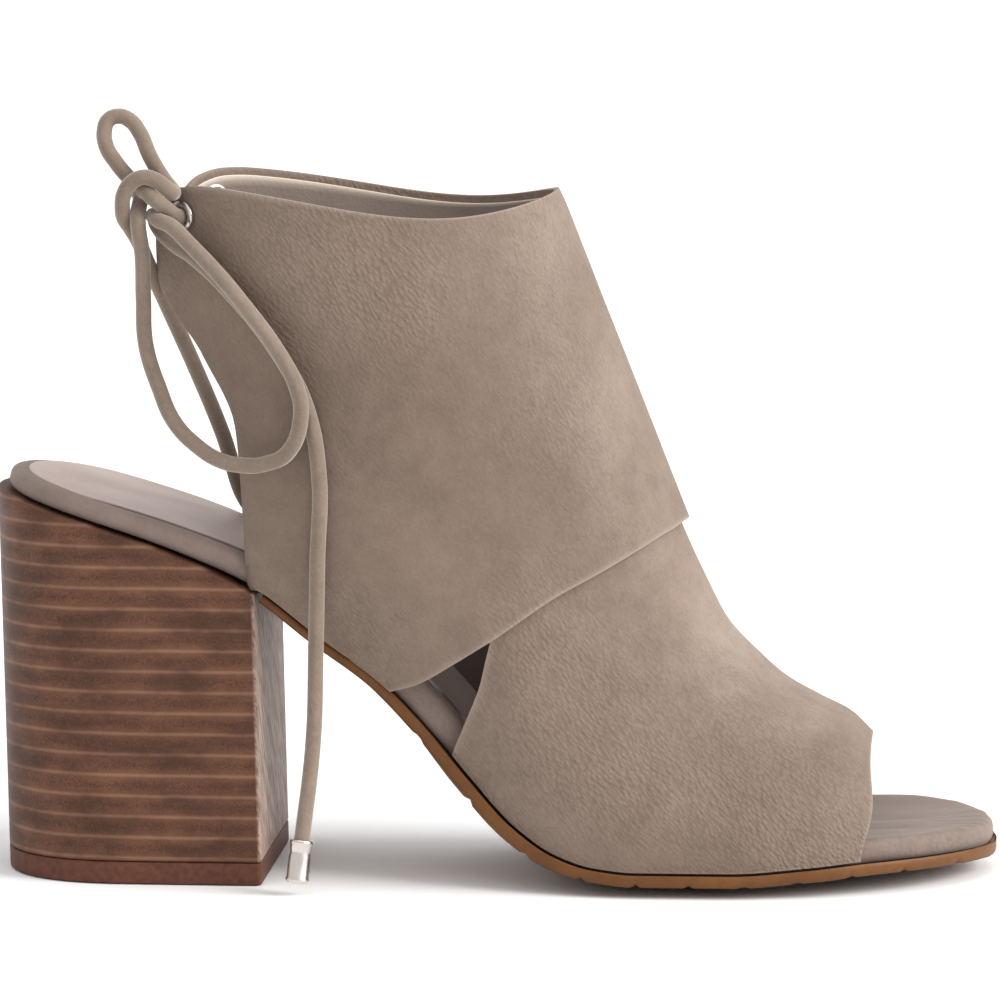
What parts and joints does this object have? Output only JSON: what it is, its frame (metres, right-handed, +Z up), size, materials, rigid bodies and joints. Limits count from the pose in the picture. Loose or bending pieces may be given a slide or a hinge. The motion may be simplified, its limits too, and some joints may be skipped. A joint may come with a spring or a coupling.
{
  "type": "peep toe ankle boot",
  "caption": "Peep toe ankle boot with a wrapped shaft, an open back tied with a round cord and a high block heel.",
  "frame": {"origin": "middle of the heel's tread, on the floor", "axes": "+X towards the toe, +Y towards the inner side of the foot, +Z up"},
  "size_m": [0.2254, 0.0819, 0.1729],
  "materials": {
    "taupe_nubuck": "matt napped leather with a light burnish",
    "taupe_suede": "soft suede",
    "tan_sole": "waxed tan sole leather",
    "stacked_leather": "brown stacked layers, satin",
    "dark_lift": "dense brown rubber",
    "nickel": "bright nickel plate"
  },
  "bodies": {
    "root": {"outsole": "tan_sole", "heel": "stacked_leather", "top_lift": "dark_lift", "insole": "taupe_suede", "vamp": "taupe_nubuck", "shaft": "taupe_nubuck", "eyelet_outer": "nickel", "eyelet_inner": "nickel", "tie_outer": "taupe_nubuck", "tie_inner": "taupe_nubuck", "knot": "taupe_nubuck", "loop_up": "taupe_nubuck", "loop_down": "taupe_nubuck", "tail_outer": "taupe_nubuck", "tail_inner": "taupe_nubuck", "tip_outer": "nickel", "tip_inner": "nickel"}
  },
  "joints": []
}
